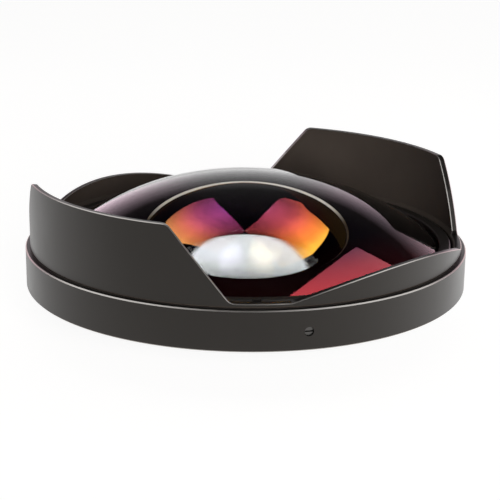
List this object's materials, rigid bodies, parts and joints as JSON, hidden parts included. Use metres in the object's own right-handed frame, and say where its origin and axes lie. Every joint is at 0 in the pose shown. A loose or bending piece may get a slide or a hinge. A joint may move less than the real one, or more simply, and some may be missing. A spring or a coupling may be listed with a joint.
{
  "type": "fisheye lens",
  "caption": "Screw-on fisheye lens: domed front glass in a black band, a petal hood that turns in the band and locks with set screws, and a male camera thread at the rear.",
  "frame": {"origin": "on the optical axis, in the plane of the camera thread's end, on which the lens stands", "axes": "+Z along the optical axis towards the subject; the tall petals on the Y axis and the low petals on the X axis; one set screw on +Y"},
  "size_m": [0.128, 0.128, 0.0453],
  "materials": {
    "anodised_band": "satin black anodised, turned",
    "anodised_hood": "satin black anodised, bead blasted",
    "inner_black": "matt black anodised",
    "blackened_steel": "black oxide",
    "front_glass": "polished, coated",
    "coated_glass": "polished, magenta and amber coating",
    "rear_glass": "polished, coated",
    "seal_rubber": "matt"
  },
  "bodies": {
    "barrel": {"front_barrel": "anodised_band", "front_element": "front_glass", "front_seal": "seal_rubber", "front_retaining_ring": "inner_black", "rear_barrel": "anodised_band", "inner_cell": "inner_black", "light_stop": "inner_black", "second_element": "coated_glass", "second_retaining_ring": "inner_black", "doublet_crown": "rear_glass", "doublet_flint": "rear_glass", "rear_spacer": "inner_black", "rear_element": "rear_glass", "rear_retaining_ring": "inner_black", "mount_ring": "anodised_band", "mount_ring_screws": "blackened_steel"},
    "hood": {"hood": "anodised_hood"},
    "set_screw_1": {"set_screw_1": "blackened_steel"},
    "set_screw_2": {"set_screw_2": "blackened_steel"},
    "set_screw_3": {"set_screw_3": "blackened_steel"}
  },
  "joints": [
    {"name": "hood_turn", "type": "hinge", "parent": "barrel", "child": "hood", "pos_m": [0, 0, 0.0241], "axis": [0, 0, 1], "continuous": true},
    {"name": "screw_1_out", "type": "slide", "parent": "barrel", "child": "set_screw_1", "axis": [0, 1, 0], "range_m": [0, 0.0012]},
    {"name": "screw_2_out", "type": "slide", "parent": "barrel", "child": "set_screw_2", "axis": [-0.866, -0.5, 0], "range_m": [0, 0.0012]},
    {"name": "screw_3_out", "type": "slide", "parent": "barrel", "child": "set_screw_3", "axis": [0.866, -0.5, 0], "range_m": [0, 0.0012]}
  ]
}
